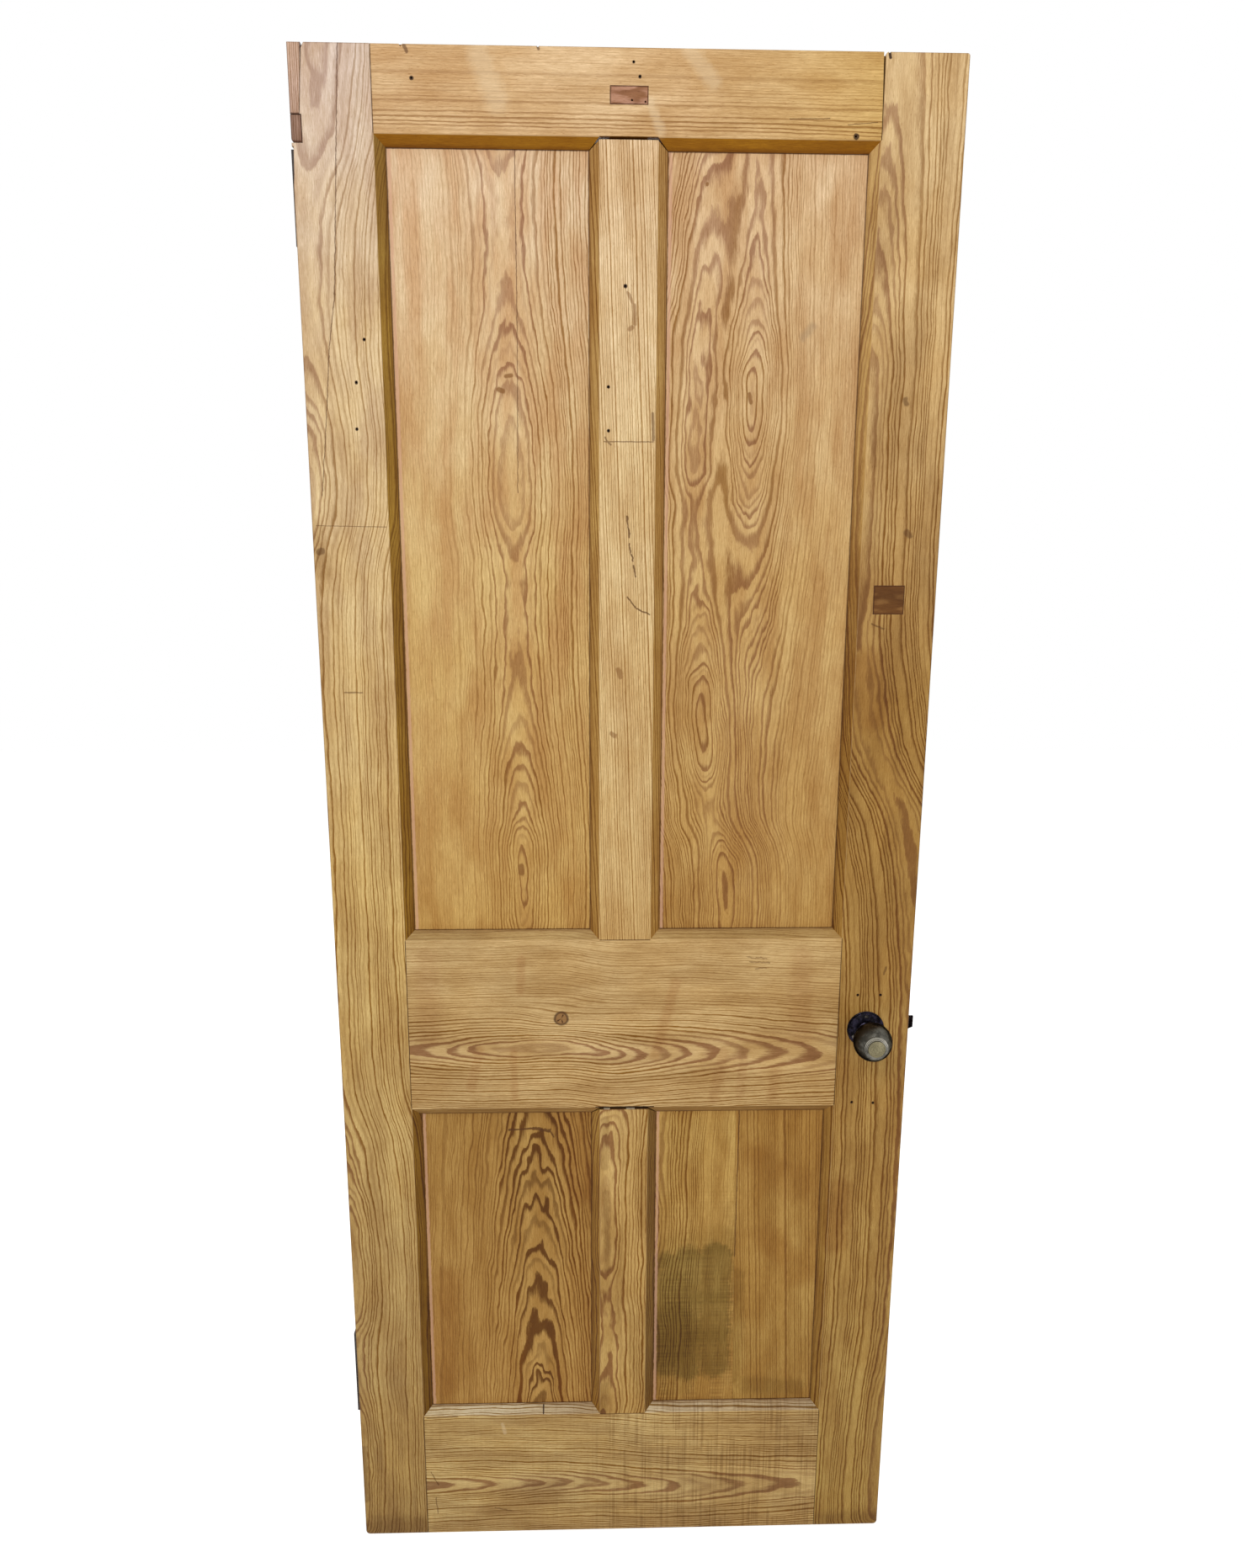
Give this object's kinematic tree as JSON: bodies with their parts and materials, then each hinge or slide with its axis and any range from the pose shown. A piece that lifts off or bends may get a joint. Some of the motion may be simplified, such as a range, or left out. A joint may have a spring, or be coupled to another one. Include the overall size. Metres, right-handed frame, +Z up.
{
  "type": "interior door",
  "caption": "Reclaimed solid pine four-panel interior door leaf with butt hinges, round knobs on roses and a mortice latch with a sprung bolt.",
  "frame": {"origin": "bottom of the leaf, halfway across its width and halfway through its thickness", "axes": "+X across the leaf from its hinge edge to its latch edge, +Y from the front face through to the back face, +Z up. The leaf opens towards +Y about its hinge pins."},
  "size_m": [0.7803, 0.17, 1.981],
  "materials": {
    "pine_stile": "stripped and waxed old pine, grain upright",
    "pine_rail": "stripped and waxed old pine, grain across",
    "pine_muntin": "stripped and waxed old pine, grain upright",
    "pine_panel": "stripped and waxed old pine, grain upright",
    "pine_wedge": "end grain of softwood wedges",
    "pine_repair": "pinkish softwood let in as repairs",
    "dark_plug": "brown wooden plug with a coarse surface",
    "hinge_metal": "blackened steel with traces of old paint",
    "screw_steel": "dulled steel",
    "rose_metal": "brass toned dark",
    "knob_metal": "bronze-toned brass, worn bright on the rings",
    "latch_steel": "darkened steel",
    "spring_steel": "bright wire"
  },
  "bodies": {
    "hinge_frame_leaves": {"upper_hinge_frame_leaf": "hinge_metal", "upper_hinge_pin": "hinge_metal", "lower_hinge_frame_leaf": "hinge_metal", "lower_hinge_pin": "hinge_metal"},
    "door": {"hinge_stile": "pine_stile", "lock_stile": "pine_stile", "top_rail": "pine_rail", "lock_rail": "pine_rail", "bottom_rail": "pine_rail", "upper_muntin": "pine_muntin", "lower_muntin": "pine_muntin", "upper_left_panel": "pine_panel", "upper_right_panel": "pine_panel", "lower_left_panel": "pine_panel", "lower_right_inner_board": "pine_panel", "lower_right_outer_board": "pine_panel", "top_rail_wedges": "pine_wedge", "lock_rail_wedges": "pine_wedge", "bottom_rail_wedges": "pine_wedge", "hinge_edge_fillet": "pine_repair", "hinge_edge_block": "pine_repair", "top_rail_patch": "pine_repair", "lock_stile_plug": "dark_plug", "upper_hinge_door_leaf": "hinge_metal", "lower_hinge_door_leaf": "hinge_metal", "upper_hinge_screws": "screw_steel", "lower_hinge_screws": "screw_steel", "front_rose": "rose_metal", "back_rose": "rose_metal", "front_rose_screws": "screw_steel", "back_rose_screws": "screw_steel", "latch_case": "latch_steel", "latch_case_cover": "latch_steel", "latch_cover_screws": "screw_steel", "latch_faceplate": "latch_steel", "latch_faceplate_screws": "screw_steel", "latch_spring": "spring_steel"},
    "knobs": {"front_knob": "knob_metal", "back_knob": "knob_metal", "spindle": "latch_steel", "knob_grub_screws": "screw_steel", "latch_follower": "latch_steel"},
    "bolt": {"latch_bolt": "latch_steel"}
  },
  "joints": [
    {"name": "door_swing", "type": "hinge", "parent": "hinge_frame_leaves", "child": "door", "pos_m": [-0.3813, 0.0255, 0], "axis": [0, 0, 1], "range_deg": [0, 180]},
    {"name": "knob_turn", "type": "hinge", "parent": "door", "child": "knobs", "pos_m": [0.323, 0, 0.802], "axis": [0, -1, 0], "range_deg": [0, 60]},
    {"name": "latch_bolt_slide", "type": "slide", "parent": "door", "child": "bolt", "axis": [-1, 0, 0], "range_m": [0, 0.01201], "stiffness_N_per_m": 950, "springref_m": -0.0065, "deforming": ["latch_spring"]}
  ],
  "couplings": [
    {"joint": "latch_bolt_slide", "follows": "knob_turn", "m_per_rad": 0.011459}
  ]
}
